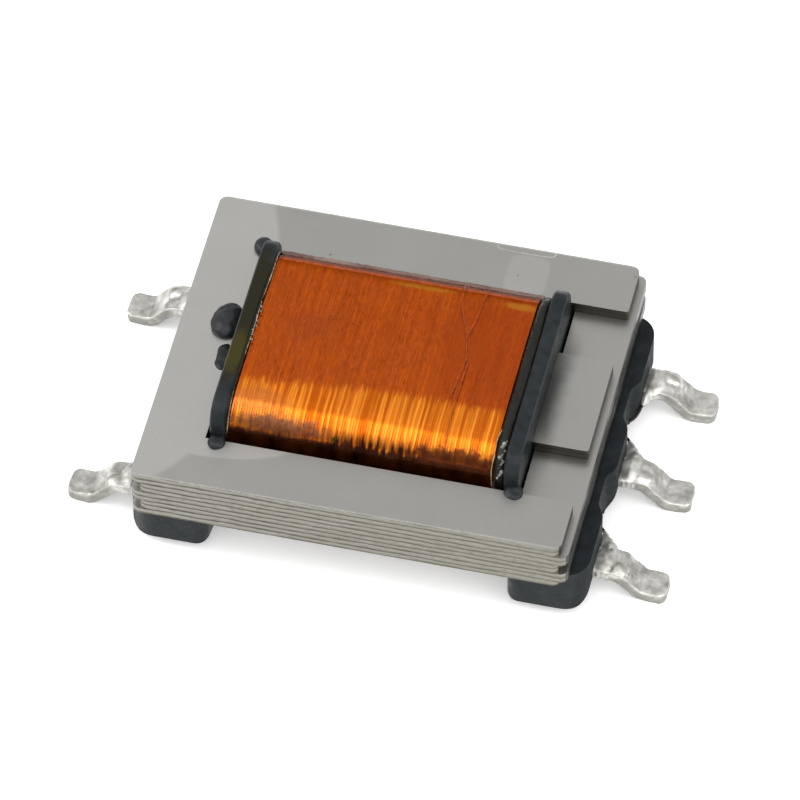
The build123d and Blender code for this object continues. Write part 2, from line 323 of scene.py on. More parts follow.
def make_wire_lay_group():
    """Wires laid side by side along X, each with its own shade, wandering a little."""
    group, given, result = start_group(
        "wire_lay",
        [("Float", "Pitch", 0.0001), ("Float", "Wander", 0.0001)],
        [("Float", "Ridge"), ("Float", "Shade"), ("Float", "Bundle")])

    def drawn_noise(scales, scale, detail):
        drawn = vector_node(group, "MULTIPLY", here(group), scales)
        return node(group, "TexNoise", {"Vector": drawn, "Scale": scale, "Detail": detail}).outputs[0]

    drift = times(group, minus(group, drawn_noise((1.0, 0.35, 0.35), 900.0, 2.0), 0.5), given["Wander"])
    turn = math_node(group, "DIVIDE", plus(group, coordinate(group, "X"), drift), given["Pitch"])
    ridge = math_node(group, "SINE", times(group, math_node(group, "FRACT", turn), math.pi))
    own = node(group, "TexWhiteNoise", {"W": math_node(group, "FLOOR", turn)}, noise_dimensions="1D")
    streak = drawn_noise((9000.0, 380.0, 380.0), 1.0, 3.0)
    shade = plus(group, times(group, own.outputs["Value"], 0.45), times(group, streak, 0.55))
    group.links.new(ridge, result["Ridge"])
    group.links.new(shade, result["Shade"])
    group.links.new(drawn_noise((2200.0, 160.0, 160.0), 1.0, 2.0), result["Bundle"])
    return group


def make_wire_tilt_group():
    """The surface's normal, tilted along each wire by its own uneven lie, and more on the front shoulder."""
    group, given, result = start_group(
        "wire_tilt",
        [("Float", "Tilt", 0.1), ("Float", "Width", 0.0001), ("Float", "Length", 0.002),
         ("Float", "Round", 0.1)],
        [("Vector", "Normal")])
    sizes = node(group, "CombineXYZ", {0: given["Width"], 1: given["Length"], 2: given["Length"]}).outputs[0]
    drawn = vector_node(group, "DIVIDE", here(group), sizes)
    noise = node(group, "TexNoise", {"Vector": drawn, "Scale": 1.0, "Detail": 2.0}).outputs[0]
    forward = ramp(group, coordinate(group, "Y"), MM * -1.4, MM * -2.7)
    amount = plus(group, times(group, minus(group, noise, 0.5), given["Tilt"]),
                  times(group, forward, given["Round"]))
    normal = node(group, "NewGeometry").outputs["Normal"]
    along = vector_node(group, "CROSS_PRODUCT", (1.0, 0.0, 0.0), normal)
    push = node(group, "VectorMath", {0: along, "Scale": amount}, operation="SCALE").outputs[0]
    unit = vector_node(group, "NORMALIZE", vector_node(group, "ADD", normal, push))
    group.links.new(unit, result["Normal"])
    return group


def make_specks_group():
    """Small scattered specks."""
    group, given, result = start_group(
        "specks",
        [("Float", "Spacing", 0.0004), ("Float", "Share", 0.1)],
        [("Float", "Mask")])
    scale = math_node(group, "DIVIDE", 1.0, given["Spacing"])
    cells = node(group, "TexVoronoi", {"Vector": here(group), "Scale": scale, "Randomness": 1.0}).outputs
    chance = node(group, "SeparateColor", {0: cells["Color"]}).outputs[0]
    kept = math_node(group, "LESS_THAN", chance, given["Share"])
    near = ramp(group, cells["Distance"], 0.04, 0.1, 1.0, 0.0)
    group.links.new(times(group, kept, near), result["Mask"])
    return group


variation = make_variation_group()
patch = make_patch_group()
plate_area = make_plate_area_group()
wire_lay = make_wire_lay_group()
wire_tilt = make_wire_tilt_group()
specks = make_specks_group()


def effect(tree, group, **values):
    """A shared effect placed in a material with its own values; returns its outputs."""
    placed = tree.nodes.new("ShaderNodeGroup")
    placed.node_tree = group
    for key, value in values.items():
        placed.inputs[key.replace("_", " ")].default_value = value
    return placed.outputs


def varied(tree, size, stretch=(1.0, 1.0, 1.0), low=0.0, high=1.0):
    """Random variation, with its size in millimetres."""
    return effect(tree, variation, Size=MM * size, Stretch=stretch, Low=low, High=high)["Value"]


def patch_at(tree, centre, half_size, fade, ragged, grain):
    """A patch's mask, with its measures in millimetres."""
    placed = effect(tree, patch, Centre=[MM * v for v in centre], Half_Size=[MM * v for v in half_size],
                    Fade=fade, Ragged=ragged, Grain=MM * grain)
    return placed["Mask"]


def area_at(tree, centre, half_size, fade, ragged):
    """A rounded area's mask on the sheets, with its measures in millimetres."""
    placed = effect(tree, plate_area, Centre=[MM * v for v in centre] + [0.0],
                    Half_Size=[MM * v for v in half_size] + [1.0], Fade=fade, Ragged=ragged)
    return placed["Mask"]


def specks_on(tree, spacing, share):
    """A mask of specks, with their spacing in millimetres, on a share of the places."""
    return effect(tree, specks, Spacing=MM * spacing, Share=share)["Mask"]


# ------------------------------------------------------------------ materials of the model's parts

def steel_face(tree, from_middle, fine):
    """The colour of a sheet's flat face: soft blotches, pale areas of painted reflection, stained areas, a
    painted shadow beside the right flange, and burred long edges with a painted highlight.
    """
    colour = tinted(tree, varied(tree, 3.0), rgb(166, 165, 161), rgb(170, 169, 165))
    # Painted reflection: the pale areas on the left yoke and left leg stand in for light reflected off the
    # sheet.
    reflection_yoke = patch_at(tree, (-7.6, 0.8, core_top), (3.4, 7.6, 9.0), 0.05, 0.02, 2.0)
    reflection_leg = patch_at(tree, (-5.0, -3.2, core_top), (3.3, 1.65, 9.0), 0.08, 0.03, 1.5)
    pale = math_node(tree, "MAXIMUM", reflection_yoke, reflection_leg)
    colour = tinted(tree, pale, colour, rgb(187, 186, 182))
    stain = area_at(tree, (3.3, 4.8), (0.72, 0.95), 0.16, 0.22)
    colour = tinted(tree, stain, colour, rgb(190, 189, 185), 0.4)
    mark_rim = minus(tree, area_at(tree, (3.05, 5.97), (0.98, 0.24), 0.05, 0.1),
                     area_at(tree, (3.05, 5.98), (0.95, 0.22), 0.06, 0.1))
    colour = tinted(tree, mark_rim, colour, rgb(226, 224, 215), varied(tree, 0.3, low=0.2, high=0.9))
    # Painted shadow: a dark band on the sheet beside the right flange stands in for the flange's shade.
    flange_shadow = area_at(tree, (5.0, 0.0), (0.75, 3.5), 0.9, 0.2)
    colour = tinted(tree, flange_shadow, colour, rgb(58, 60, 60), 0.85)
    colour = tinted(tree, fine, colour, rgb(138, 137, 131), 0.1)
    colour = tinted(tree, specks_on(tree, 0.6, 0.12), colour, rgb(96, 94, 86), 0.6)
    # Burred long edges made lighter: partly the burrs themselves, partly a painted highlight.
    burr_and_highlight = ramp(tree, from_middle, MM * 5.92, MM * 5.97)
    return tinted(tree, burr_and_highlight, colour, rgb(206, 204, 196), varied(tree, 0.12, low=0.1, high=1.0))


def steel_edge(tree, from_middle):
    """The colour of the sheets' cut edges: a dark line at each joint, smeared towards the right, and painted
    shade on the cut edges of the steps and ends on the right.
    """
    across = coordinate(tree, "X")
    level = minus(tree, coordinate(tree, "Z"), MM * core_bottom)
    level = math_node(tree, "DIVIDE", level, MM * lamination_thickness)
    uneven = varied(tree, 0.5, (3.0, 3.0, 0.4), -0.16, 0.16)
    line = node(tree, "ValToRGB", {0: math_node(tree, "FRACT", plus(tree, level, uneven))})
    steps = line.color_ramp.elements
    steps[0].color = rgb(56, 54, 46)
    steps[1].color = rgb(92, 90, 82)
    for position, colour in ((0.17, rgb(78, 76, 67)), (0.34, rgb(134, 132, 124)), (0.84, rgb(148, 146, 139))):
        steps.new(position).color = colour
    dull = varied(tree, 0.25, (2.5, 2.5, 0.5), 0.0, 0.4)
    colour = tinted(tree, dull, line.outputs[0], rgb(120, 117, 104))
    smeared = ramp(tree, across, MM * -3.0, MM * 5.0, 0.0, 0.5)
    colour = tinted(tree, smeared, colour, rgb(128, 126, 114), varied(tree, 0.9, (3.0, 3.0, 0.5), 0.3, 1.0))
    colour = tinted(tree, varied(tree, 0.1, (1.6, 1.6, 0.7), -0.9, 1.0), colour, rgb(88, 86, 76), 0.35)
    # Painted shade: the cut edges on the right, at the steps and the sheets' ends, made dark.
    step_shade = times(tree, ramp(tree, across, MM * 4.9, MM * 5.1, 0.0, 0.85),
                        math_node(tree, "LESS_THAN", from_middle, MM * 5.9))
    return tinted(tree, step_shade, colour, rgb(46, 45, 42))


def make_core_steel():
    """Grey stamped sheet."""
    material, tree, shader = new_material("core_steel")
    fine = varied(tree, 0.08)
    from_middle = math_node(tree, "ABSOLUTE", coordinate(tree, "Y"))
    upright = math_node(tree, "ABSOLUTE", coordinate(tree, "Z", "Normal"))
    is_flat = math_node(tree, "GREATER_THAN", upright, 0.5)
    colour = tinted(tree, is_flat, steel_edge(tree, from_middle), steel_face(tree, from_middle, fine))
    set_inputs(tree, shader, Base_Color=colour, Metallic=1.0,
               Roughness=varied(tree, 0.8, (2.0, 1.0, 1.0), 0.31, 0.39))
    add_relief(tree, shader, fine, 0.002, 0.5)
    return material


def make_bobbin_plastic():
    """Blue-black moulded plastic with a faint grain, olive with varnish on the left flange."""
    material, tree, shader = new_material("bobbin_plastic")
    colour = tinted(tree, varied(tree, 0.5), rgb(23, 28, 30), rgb(36, 41, 43))
    colour = tinted(tree, specks_on(tree, 0.5, 0.2), colour, rgb(130, 134, 132), 0.6)
    olive = patch_at(tree, (-4.7, 0.3, 5.0), (0.5, 3.4, 0.6), 0.4, 0.3, 0.3)
    colour = tinted(tree, olive, colour, rgb(30, 27, 12))
    wet = patch_at(tree, (-4.7, -1.3, 5.0), (0.5, 1.2, 0.6), 0.6, 0.3, 0.2)
    colour = tinted(tree, wet, colour, rgb(52, 46, 12))
    outwards = math_node(tree, "ABSOLUTE", coordinate(tree, "X"))
    dull_bosses = ramp(tree, outwards, MM * 7.0, MM * 7.2, 0.0, 0.34)
    set_inputs(tree, shader, Base_Color=colour, Specular_IOR_Level=0.16,
               Roughness=plus(tree, varied(tree, 0.3, low=0.22, high=0.44), dull_bosses))
    add_relief(tree, shader, plus(tree, varied(tree, 0.5), times(tree, varied(tree, 0.12), 0.25)), 0.02, 0.5)
    return material


def make_copper():
    """Enamelled copper wire under clear tape: fine streaks round the coil, a painted golden highlight on the
    front shoulder, and painted shade in the grooves and along the front's lower part.
    """
    material, tree, shader = new_material("enamelled_copper")
    wires = effect(tree, wire_lay, Pitch=MM * 0.085, Wander=MM * 0.18)
    across, depth, height = (coordinate(tree, axis) for axis in "XYZ")

    # The top: orange, mottled round the coil
    colour = tinted(tree, wires["Shade"], rgb(182, 79, 20), rgb(226, 104, 24))
    colour = tinted(tree, wires["Bundle"], colour, rgb(182, 76, 22), 0.45)
    # Mottling and darker flecks; the last row paints small bright glints, a painted highlight.
    for size, stretch, low, high, share, second in (
            (0.22, (0.35, 1.6, 1.6), -0.6, 1.0, 0.4, rgb(142, 48, 14)),
            (0.8, (0.3, 2.6, 2.6), -0.3, 1.0, 0.28, rgb(150, 58, 26)),
            (0.09, (0.8, 2.6, 2.6), -2.0, 1.0, 0.3, rgb(120, 40, 16)),
            (0.08, (0.8, 2.2, 2.2), 1.0, -2.4, 0.3, rgb(232, 130, 44))):
        colour = tinted(tree, varied(tree, size, stretch, low, high), colour, second, share)
    mauve = patch_at(tree, (-2.7, 0.3, 4.95), (0.9, 1.1, 0.8), 0.8, 0.6, 0.4)
    colour = tinted(tree, mauve, colour, rgb(158, 70, 42), 0.4)

    # The front shoulder: a painted highlight of golden streaks that start unevenly
    uneven_start = times(tree, varied(tree, 0.2, (0.5, 8.0, 8.0), -0.24, 0.24), MM)
    start = ramp(tree, across, MM * -4.5, 0.0, MM * -2.12, MM * -1.68)
    forward = minus(tree, start, plus(tree, depth, uneven_start))
    highlight_mask = ramp(tree, forward, MM * -0.06, MM * 0.22)
    golden = tinted(tree, ramp(tree, wires["Shade"], 0.32, 0.68), rgb(200, 94, 8), rgb(255, 154, 44))
    peach_highlight = patch_at(tree, (-3.8, -2.9, 4.8), (1.6, 0.7, 0.7), 0.7, 0.5, 0.3)
    golden = tinted(tree, peach_highlight, golden, rgb(196, 108, 54), 0.65)
    colour = tinted(tree, highlight_mask, colour, golden, 0.9)
    # Painted shade in the grooves between the wires.
    groove_shade = math_node(tree, "POWER", minus(tree, 1.0, wires["Ridge"]), 3.0)
    colour = tinted(tree, groove_shade, colour, rgb(100, 32, 3), 0.35)
    redder = patch_at(tree, (3.2, 0.6, 4.9), (2.4, 3.4, 2.0), 0.6, 0.3, 1.2)
    colour = tinted(tree, times(tree, redder, minus(tree, 1.0, highlight_mask)), colour, rgb(160, 56, 16), 0.4)

    # Tape lifted off the wire on the front, milky, with a greenish drop
    lifted = patch_at(tree, (-2.85, -3.5, 4.38), (2.0, 0.6, 0.36), 0.65, 0.55, 0.2)
    milky = tinted(tree, varied(tree, 0.14), rgb(78, 50, 42), rgb(124, 84, 62))
    colour = tinted(tree, lifted, colour, milky, 0.85)
    greenish = patch_at(tree, (-1.0, -3.66, 4.28), (0.17, 0.3, 0.14), 0.6, 0.2, 0.1)
    colour = tinted(tree, greenish, colour, rgb(74, 84, 20))

    # The rear: yellow strips at the tape's end, and a hazy band where the coil turns down
    rear_strip = math_node(tree, "MAXIMUM", patch_at(tree, (0.4, 2.85, 4.85), (1.4, 0.2, 0.3), 0.6, 0.3, 0.2),
                           patch_at(tree, (3.6, 2.7, 4.87), (0.75, 0.24, 0.3), 0.6, 0.3, 0.2))
    colour = tinted(tree, rear_strip, colour, rgb(206, 140, 44), 0.6)
    hazy = ramp(tree, depth, MM * 3.0, MM * 3.25)
    colour = tinted(tree, hazy, colour, rgb(88, 50, 36), 0.85)

    # The front's lower part: painted shade as a dark band with a toothed upper edge, and more painted shade
    # on the right
    teeth = ramp(tree, across, MM * -1.4, MM * -0.4, 0.2, 1.0)
    ragged = times(tree, varied(tree, 0.22, (0.6, 6.0, 6.0), -0.22, 0.22), MM)
    rise = ramp(tree, across, MM * -0.7, MM * -1.2, MM * 0.12, 0.0)
    level = minus(tree, plus(tree, height, times(tree, ragged, teeth)), rise)
    colour = tinted(tree, ramp(tree, level, MM * 4.08, MM * 4.38, 1.0, 0.0), colour, rgb(44, 14, 7))
    shade_right = patch_at(tree, (3.0, -3.65, 4.24), (2.2, 0.8, 0.5), 0.5, 0.6, 0.22)
    colour = tinted(tree, shade_right, colour, rgb(76, 34, 14), 0.85)

    rough = varied(tree, 0.35, (0.4, 3.0, 3.0), 0.15, 0.24)
    rough = plus(tree, rough, times(tree, lifted, 0.15))
    rough = plus(tree, rough, times(tree, hazy, 0.4))
    set_inputs(tree, shader, Base_Color=colour, Roughness=rough,
               Metallic=minus(tree, 1.0, times(tree, hazy, 0.9)), Specular_Tint=rgb(226, 176, 132),
               Specular_IOR_Level=0.1, Coat_Weight=0.08, Coat_Roughness=0.1, Coat_IOR=1.45)
    lie = effect(tree, wire_tilt, Tilt=0.24, Width=MM * 0.16, Length=MM * 2.6, Round=0.1)["Normal"]
    add_relief(tree, shader, wires["Ridge"], 0.012, 0.5, base=lie)
    crinkle = plus(tree, varied(tree, 0.5, (0.5, 2.0, 2.0)), wires["Bundle"])
    add_relief(tree, shader, crinkle, 0.03, 0.5, "Coat Normal")
    return material


def make_clear_tape():
    """Clear film with faint haze."""
    material, tree, shader = new_material("clear_film")
    haze = varied(tree, 0.9, (0.6, 2.0, 2.0), 0.0, 0.03)
    set_inputs(tree, shader, Base_Color=rgb(176, 84, 30), Roughness=0.2, Alpha=haze)
    return material


def make_insulating_film():
    """Amber insulating film."""
    material, tree, shader = new_material("amber_film")
    colour = tinted(tree, varied(tree, 0.4), rgb(34, 30, 18), rgb(20, 20, 17))
    set_inputs(tree, shader, Base_Color=colour, Roughness=0.25)
    add_relief(tree, shader, varied(tree, 0.3), 0.01, 0.5)
    return material


# ------------------------------------------------------------------ materials of the scene's own pieces

def make_tin():
    """Solder-tinned metal: bright, dull in blotches, with painted shade on its flanks and some flux near the
    body.
    """
    material, tree, shader = new_material("tinned_metal")
    colour = tinted(tree, varied(tree, 0.55), rgb(162, 161, 154), rgb(228, 227, 222))
    colour = tinted(tree, varied(tree, 0.12, low=0.0, high=0.2), colour, rgb(120, 118, 110))
    outwards = math_node(tree, "ABSOLUTE", coordinate(tree, "X"))
    # Painted shade: the sides and undersides of the free part made darker.
    flank_shade = ramp(tree, coordinate(tree, "Z", "Normal"), 0.45, -0.1, 0.0, 0.75, soft=True)
    free_part = ramp(tree, outwards, MM * 7.8, MM * 8.2, 0.2, 1.0)
    colour = tinted(tree, flank_shade, colour, rgb(116, 115, 108), free_part)
    fluxed = ramp(tree, outwards, MM * 7.9, MM * 7.5, 0.0, 0.55)
    set_inputs(tree, shader, Base_Color=colour, Metallic=minus(tree, 1.0, fluxed),
               Roughness=varied(tree, 0.3, low=0.24, high=0.5))
    add_relief(tree, shader, plus(tree, varied(tree, 0.3), times(tree, varied(tree, 0.09), 0.2)), 0.012, 0.6)
    return material


def make_wire_enamel():
    """Dark enamel over copper wire."""
    material, tree, shader = new_material("wire_enamel")
    colour = tinted(tree, varied(tree, 0.4), rgb(22, 15, 12), rgb(42, 25, 17))
    set_inputs(tree, shader, Base_Color=colour, Specular_IOR_Level=0.3, Roughness=0.3)
    return material


def make_adhesive():
    """Blue-grey adhesive, nearly black, with a soft gloss."""
    material, tree, shader = new_material("dark_adhesive")
    colour = tinted(tree, varied(tree, 0.3), rgb(12, 15, 18), rgb(27, 31, 35))
    set_inputs(tree, shader, Base_Color=colour, Specular_IOR_Level=0.35, Roughness=0.42)
    add_relief(tree, shader, varied(tree, 0.3), 0.02, 0.4)
    return material


def make_film_edge():
    """Cream film edge that catches the light in dashes."""
    material, tree, shader = new_material("film_edge")
    colour = tinted(tree, varied(tree, 0.16), rgb(30, 26, 12), rgb(186, 170, 134))
    set_inputs(tree, shader, Base_Color=colour, Roughness=0.18)
    add_relief(tree, shader, varied(tree, 0.1), 0.02, 0.6)
    return material


def make_dark_varnish():
    """Dark varnish between the winding and the flange, olive where it is thin."""
    material, tree, shader = new_material("dark_varnish")
    colour = tinted(tree, varied(tree, 0.35, (0.6, 2.0, 2.0)), rgb(9, 12, 14), rgb(28, 27, 16))
    colour = tinted(tree, specks_on(tree, 0.4, 0.04), colour, rgb(130, 126, 100), 0.4)
    set_inputs(tree, shader, Base_Color=colour, Specular_IOR_Level=0.25,
               Roughness=varied(tree, 0.3, low=0.22, high=0.42))
    add_relief(tree, shader, varied(tree, 0.4), 0.01, 0.4)
    return material


def make_seam_varnish():
    """Thin mauve-grey varnish where the winding meets the core."""
    material, tree, shader = new_material("seam_varnish")
    colour = tinted(tree, varied(tree, 0.4, (3.0, 1.0, 1.0)), rgb(92, 62, 52), rgb(132, 108, 98))
    set_inputs(tree, shader, Base_Color=colour, Roughness=0.4)
    return material


def make_crease_film():
    """Film standing up in a fine crease."""
    material, tree, shader = new_material("film_crease")
    colour = tinted(tree, varied(tree, 0.3), rgb(120, 42, 10), rgb(190, 92, 30))
    set_inputs(tree, shader, Base_Color=colour, Roughness=0.2, Alpha=varied(tree, 0.25, low=0.25, high=0.8))
    return material


def make_bead_varnish():
    """Milky beads of varnish."""
    material, tree, shader = new_material("milky_varnish")
    colour = tinted(tree, varied(tree, 0.08), rgb(30, 34, 36), rgb(150, 152, 146))
    set_inputs(tree, shader, Base_Color=colour, Roughness=0.12, Coat_Weight=0.5)
    return material


def dress(prefix, material):
    """Gives every part of the model whose name starts this way its material."""
    for name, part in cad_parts.items():
        if name.startswith(prefix):
            part.data.materials.clear()
            part.data.materials.append(material)


copper = make_copper()
dress("lamination", make_core_steel())
dress("bobbin", make_bobbin_plastic())
dress("secondary_winding", copper)
dress("primary_winding", copper)
dress("clear_tape", make_clear_tape())
dress("insulating_tape", make_insulating_film())

tin = make_tin()
enamel = make_wire_enamel()
adhesive = make_adhesive()
film_edge = make_film_edge()
dark_varnish = make_dark_varnish()
seam_varnish = make_seam_varnish()
crease_film = make_crease_film()
bead_varnish = make_bead_varnish()


# ------------------------------------------------------------------ shaping

def mm(*values):
    """Millimetres as metres."""
    return tuple(MM * value for value in values)


def pick(obj):
    """Selects only this object and makes it the active one."""
    bpy.ops.object.select_all(action="DESELECT")
    obj.select_set(True)
    bpy.context.view_layer.objects.active = obj


def box_at(name, middle, size):
    """A box of this size round its middle, both in millimetres, with its place in its mesh."""
    bpy.ops.object.select_all(action="DESELECT")
    bpy.ops.mesh.primitive_cube_add(size=1.0, location=mm(*middle), scale=mm(*size))
    bpy.ops.object.transform_apply(location=True, rotation=True, scale=True)
    bpy.context.object.name = name
    return bpy.context.object


def lump_at(middle, half_size):
    """A round lump, in millimetres."""
    bpy.ops.object.select_all(action="DESELECT")
    bpy.ops.mesh.primitive_uv_sphere_add(segments=24, ring_count=14, radius=1.0, location=mm(*middle),
                                         scale=mm(*half_size))
    bpy.ops.object.transform_apply(location=True, rotation=True, scale=True)
    return bpy.context.object


def strand(points, radius):
    """A strand of wire or film through these points, in millimetres."""
    bpy.ops.object.select_all(action="DESELECT")
    bpy.ops.curve.primitive_nurbs_path_add(location=(0.0, 0.0, 0.0))
    path = bpy.context.object
    path.data.splines.clear()
    spline = path.data.splines.new("NURBS")
    spline.points.add(len(points) - 1)
    for point, place in zip(spline.points, points):
        point.co = (*mm(*place), 1.0)
    spline.order_u = 3
    spline.use_endpoint_u = True
    path.data.bevel_depth = MM * radius
    path.data.bevel_resolution = 3
    path.data.use_fill_caps = True
    bpy.ops.object.convert(target="MESH")
    return bpy.context.object


def edit_faces(obj, wanted=lambda face: True):
    """Opens the object in edit mode with only these faces selected."""
    pick(obj)
    bpy.ops.object.mode_set(mode="EDIT")
    bpy.ops.mesh.select_mode(type="FACE")
    bpy.ops.mesh.select_all(action="DESELECT")
    mesh = bmesh.from_edit_mesh(obj.data)
    for face in mesh.faces:
        face.select = wanted(face)
    mesh.select_flush_mode()
    bmesh.update_edit_mesh(obj.data)


def leave_edit():
    bpy.ops.object.mode_set(mode="OBJECT")


def extrude_along(x, z):
    """Extrudes the selected faces in the XZ plane, in millimetres."""
    bpy.ops.mesh.extrude_region_move(TRANSFORM_OT_translate={"value": mm(x, 0.0, z)})


def spin_round(angle, x, z):
    """Spins the selected faces round an axis along Y through this place, in millimetres."""
    bpy.ops.mesh.spin(steps=5, angle=angle, axis=(0.0, 1.0, 0.0), center=mm(x, 0.0, z))


def subdivide(piece, cuts, smoothness=0.0):
    """Cuts all of the piece's faces finer."""
    edit_faces(piece)
    bpy.ops.mesh.subdivide(number_cuts=cuts, smoothness=smoothness)
    leave_edit()


def cut_below(piece, height):
    """Cuts off what lies below this height, in millimetres, and closes the cut."""
    edit_faces(piece)
    bpy.ops.mesh.bisect(plane_co=(0.0, 0.0, MM * height), plane_no=(0.0, 0.0, 1.0), clear_inner=True,
                        use_fill=True, threshold=1e-7)
    bpy.ops.mesh.select_all(action="SELECT")
    bpy.ops.mesh.normals_make_consistent(inside=False)
    leave_edit()


def apply_modifier(obj, kind, **settings):
    """Adds a modifier with its settings and applies it."""
    pick(obj)
    modifier = obj.modifiers.new(kind.lower(), kind)
    for key, value in settings.items():
        setattr(modifier, key, value)
    bpy.ops.object.modifier_apply(modifier=modifier.name)


def roughen(obj, pattern, strength):
    """Pushes the surface in and out by the pattern, in millimetres."""
    apply_modifier(obj, "DISPLACE", texture=pattern, strength=MM * strength, mid_level=0.5)


def cloud(name, size):
    """A soft cloudy pattern for displacing a surface, its size in millimetres."""
    pattern = bpy.data.textures.new(name, "CLOUDS")
    pattern.noise_scale = MM * size
    pattern.noise_depth = 1
    return pattern


def join(pieces):
    """The pieces as one object."""
    bpy.ops.object.select_all(action="DESELECT")
    for piece in pieces:
        piece.select_set(True)
    bpy.context.view_layer.objects.active = pieces[0]
    bpy.ops.object.join()
    return bpy.context.object


def finish_piece(piece, name, material):
    """Names the piece, gives it its material and lets it ride on the part."""
    pick(piece)
    bpy.ops.object.shade_smooth()
    piece.name = name
    piece.data.materials.clear()
    piece.data.materials.append(material)
    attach(piece, "root")
    return piece


lumps = cloud("solder_lumps", 0.45)
grain = cloud("solder_grain", 0.14)


# ------------------------------------------------------------------ tinned leads and their wires

# Side of the body, place along the row in millimetres, side from which the wire comes, and whether
# it slants outwards from the recess.
lead_places = {
    "right_rear": (1, 3.81, -1, False),
    "right_middle": (1, 0.0, 1, True),
    "right_front": (1, -3.81, 1, True),
    "left_rear": (-1, 3.81, -1, False),
    "left_front": (-1, -3.81, 1, False),
}


def shape_lead():
    """A bare gull-wing lead on the right, in the middle of the row: straight, down, and to a flat foot."""
    held = 0.3
    tangent = lead_bend_radius * math.tan(lead_bend_angle / 2)
    first_bend = boss_face + lead_straight
    drop = lead_middle - lead_thickness / 2
    slope = drop / math.sin(lead_bend_angle) - 2 * tangent
    lead = box_at("lead_blank", (boss_face - held / 2, 0.0, lead_middle), (held, lead_width, lead_thickness))
    edit_faces(lead, lambda face: face.normal.x > 0.9)
    extrude_along(lead_straight, 0.0)
    spin_round(-lead_bend_angle, first_bend, lead_middle - lead_bend_radius)
    extrude_along(slope * math.cos(lead_bend_angle), -slope * math.sin(lead_bend_angle))
    foot_start = first_bend + 2 * tangent + drop / math.tan(lead_bend_angle)
    spin_round(lead_bend_angle, foot_start, lead_thickness / 2 + lead_bend_radius)
    extrude_along(lead_foot - tangent, 0.0)

    # Round the tip's upright corners
    rounding, slack = 0.26, MM * 0.01
    mesh = bmesh.from_edit_mesh(lead.data)
    bpy.ops.mesh.select_all(action="DESELECT")
    bpy.ops.mesh.select_mode(type="EDGE")
    tip = max(vert.co.x for vert in mesh.verts)
    for edge in mesh.edges:
        ends = [vert.co for vert in edge.verts]
        at_tip = all(tip - end.x < slack for end in ends)
        edge.select = at_tip and abs(ends[0].z - ends[1].z) > slack
    bmesh.update_edit_mesh(lead.data)
    bpy.ops.mesh.bevel(offset=MM * rounding, segments=4, affect="EDGES")
    leave_edit()
    return lead


def solder_web(slants, slot, near):
    """Solder between wire and lead: its lumps, each a middle and half sizes, and the wire's wetted run."""
    if slants:
        web = [((7.7, near * 0.95, 0.98), (0.26, 0.3, 0.2)),
               ((7.53, near * 1.4, 0.9), (0.24, 0.34, 0.16)),
               ((7.4, near * 1.95, 0.8), (0.16, 0.32, 0.13))]
        wet_run = [(7.3, slot * 0.86, 0.74), (7.45, slot * 0.7, 0.86), (7.72, near * 1.1, 1.06),
                   (7.86, near * 0.4, 1.14)]
    else:
        web = [((7.45, near * 1.25, 0.88), (0.18, 0.26, 0.16))]
        wet_run = [(7.42, slot * 0.6, 0.88), (7.45, slot * 0.5, 0.95), (7.5, near * 1.1, 1.03),
                   (7.54, near * 0.4, 1.12)]
    return web, wet_run


def tinned_lead(name, blank, side, place, wire_side, slants):
    """One lead with its turns of wire under solder, run together and lumpy as dipped."""
    lead = blank.copy()
    lead.data = blank.data.copy()
    bpy.context.scene.collection.objects.link(lead)
    web, wet_run = solder_web(slants, wire_side * slot_from_lead, wire_side * (lead_width / 2))
    collar = lump_at((boss_face + 0.3, 0.03 * wire_side, lead_middle + 0.02), (0.42, 0.62, 0.33))
    neck = lump_at((boss_face + 0.66, -0.22 * wire_side, lead_middle - 0.01), (0.46, 0.34, 0.27))
    parts = [lead, collar, neck]
    parts += [lump_at(middle, half_size) for middle, half_size in web]
    parts.append(strand(wet_run, wet_wire_radius))
    for turn in range(3):
        parts.append(lump_at((boss_face + 0.14 + 0.15 * turn, 0.0, lead_middle), (0.1, 0.61, 0.29)))
    piece = join(parts)
    if side < 0:
        piece.scale = (-1.0, 1.0, 1.0)
    piece.location = mm(rail_shift, place, 0.0)
    bpy.ops.object.transform_apply(location=True, rotation=True, scale=True)
    apply_modifier(piece, "REMESH", mode="VOXEL", voxel_size=MM * solder_voxel)
    apply_modifier(piece, "SMOOTH", factor=0.6, iterations=20)
    roughen(piece, lumps, solder_waves)
    roughen(piece, grain, solder_bumps)
    cut_below(piece, floor_gap)
    finish_piece(piece, f"tinned_lead_{name}", tin)
    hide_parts(f"lead_{name}", f"solder_{name}")


def tinned_wire(name, side, place, wire_side, slants):
    """A wire from under the coil, through the rail's slot and up to its lead."""
    near = wire_side * (lead_width / 2)
    slot = wire_side * slot_from_lead
    run = [(4.04, slot, 1.0), (4.06, slot, 0.82), (4.3, slot, wire_level), (5.6, slot, wire_level),
           (6.9, slot, wire_level)]
    if slants:
        run += [(7.2, slot, wire_level), (7.4, slot * 0.74, 0.83), (7.72, near * 1.1, 1.06),
                (7.86, near * 0.5, 1.12)]
    else:
        run += [(7.1, slot * 0.96, 0.66), (7.3, slot * 0.8, 0.7), (7.42, near * 1.5, 0.85),
                (7.46, near * 1.1, 1.0), (7.52, near * 0.5, 1.08)]
    piece = strand([(side * x + rail_shift, place + y, z) for x, y, z in run], wire_radius)
    finish_piece(piece, f"tinned_wire_{name}", enamel)
    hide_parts(f"wire_end_{name}")


lead_blank = shape_lead()
for lead_name, lead_place in lead_places.items():
    tinned_lead(lead_name, lead_blank, *lead_place)
    tinned_wire(lead_name, *lead_place)
bpy.data.objects.remove(lead_blank)


# ------------------------------------------------------------------ adhesive dabs

